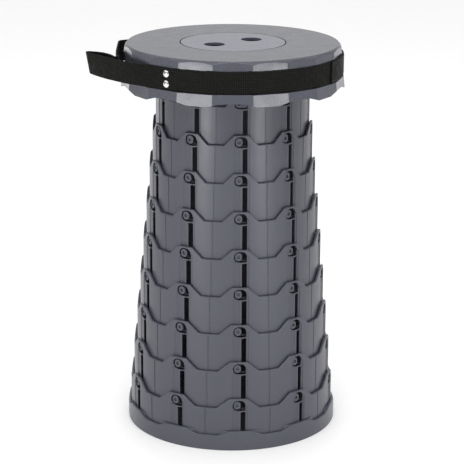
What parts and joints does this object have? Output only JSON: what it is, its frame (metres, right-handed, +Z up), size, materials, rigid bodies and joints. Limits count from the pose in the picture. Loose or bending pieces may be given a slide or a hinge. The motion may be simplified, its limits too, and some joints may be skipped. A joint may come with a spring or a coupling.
{
  "type": "camp stool",
  "caption": "Telescoping round camp stool of slotted rings that nest inside one another, with a flat seat, a lift-out cover and a webbing carry handle.",
  "frame": {"origin": "on the stool's axis, in the plane of the base's underside", "axes": "+Z up along the axis to the seat; -X towards the carry handle; -Y is the front, where the handle's rivets show"},
  "size_m": [0.2946, 0.2522, 0.45],
  "materials": {
    "ring_plastic": "satin moulded, cool mid grey",
    "seat_plastic": "satin moulded, cool mid grey, fine sheen on the flat top",
    "webbing": "woven nylon webbing, ribbed across",
    "rivet_metal": "bright nickel plate",
    "screw_steel": "zinc plated",
    "pad_rubber": "matte"
  },
  "bodies": {
    "base": {"base_tray": "ring_plastic", "ring_9": "ring_plastic", "foot_pads": "pad_rubber", "base_screws": "screw_steel"},
    "section_8": {"ring_8": "ring_plastic"},
    "section_7": {"ring_7": "ring_plastic"},
    "section_6": {"ring_6": "ring_plastic"},
    "section_5": {"ring_5": "ring_plastic"},
    "section_4": {"ring_4": "ring_plastic"},
    "section_3": {"ring_3": "ring_plastic"},
    "section_2": {"ring_2": "ring_plastic"},
    "section_1": {"ring_1": "ring_plastic"},
    "seat": {"seat_top": "seat_plastic", "top_ring": "ring_plastic", "seat_screws": "screw_steel", "strap": "webbing", "strap_lap": "webbing", "strap_rivets": "rivet_metal", "rivet_washers": "screw_steel"},
    "cover": {"centre_cap": "seat_plastic"}
  },
  "joints": [
    {"name": "ring_8_slide", "type": "slide", "parent": "base", "child": "section_8", "axis": [0, 0, -1], "range_m": [0, 0.041]},
    {"name": "ring_7_slide", "type": "slide", "parent": "section_8", "child": "section_7", "axis": [0, 0, -1], "range_m": [0, 0.0424]},
    {"name": "ring_6_slide", "type": "slide", "parent": "section_7", "child": "section_6", "axis": [0, 0, -1], "range_m": [0, 0.0424]},
    {"name": "ring_5_slide", "type": "slide", "parent": "section_6", "child": "section_5", "axis": [0, 0, -1], "range_m": [0, 0.0424]},
    {"name": "ring_4_slide", "type": "slide", "parent": "section_5", "child": "section_4", "axis": [0, 0, -1], "range_m": [0, 0.0424]},
    {"name": "ring_3_slide", "type": "slide", "parent": "section_4", "child": "section_3", "axis": [0, 0, -1], "range_m": [0, 0.0424]},
    {"name": "ring_2_slide", "type": "slide", "parent": "section_3", "child": "section_2", "axis": [0, 0, -1], "range_m": [0, 0.0424]},
    {"name": "ring_1_slide", "type": "slide", "parent": "section_2", "child": "section_1", "axis": [0, 0, -1], "range_m": [0, 0.0424]},
    {"name": "seat_slide", "type": "slide", "parent": "section_1", "child": "seat", "axis": [0, 0, -1], "range_m": [0, 0.0386]},
    {"name": "cover_lift", "type": "slide", "parent": "seat", "child": "cover", "axis": [0, 0, 1], "range_m": [0, 0.03]}
  ]
}
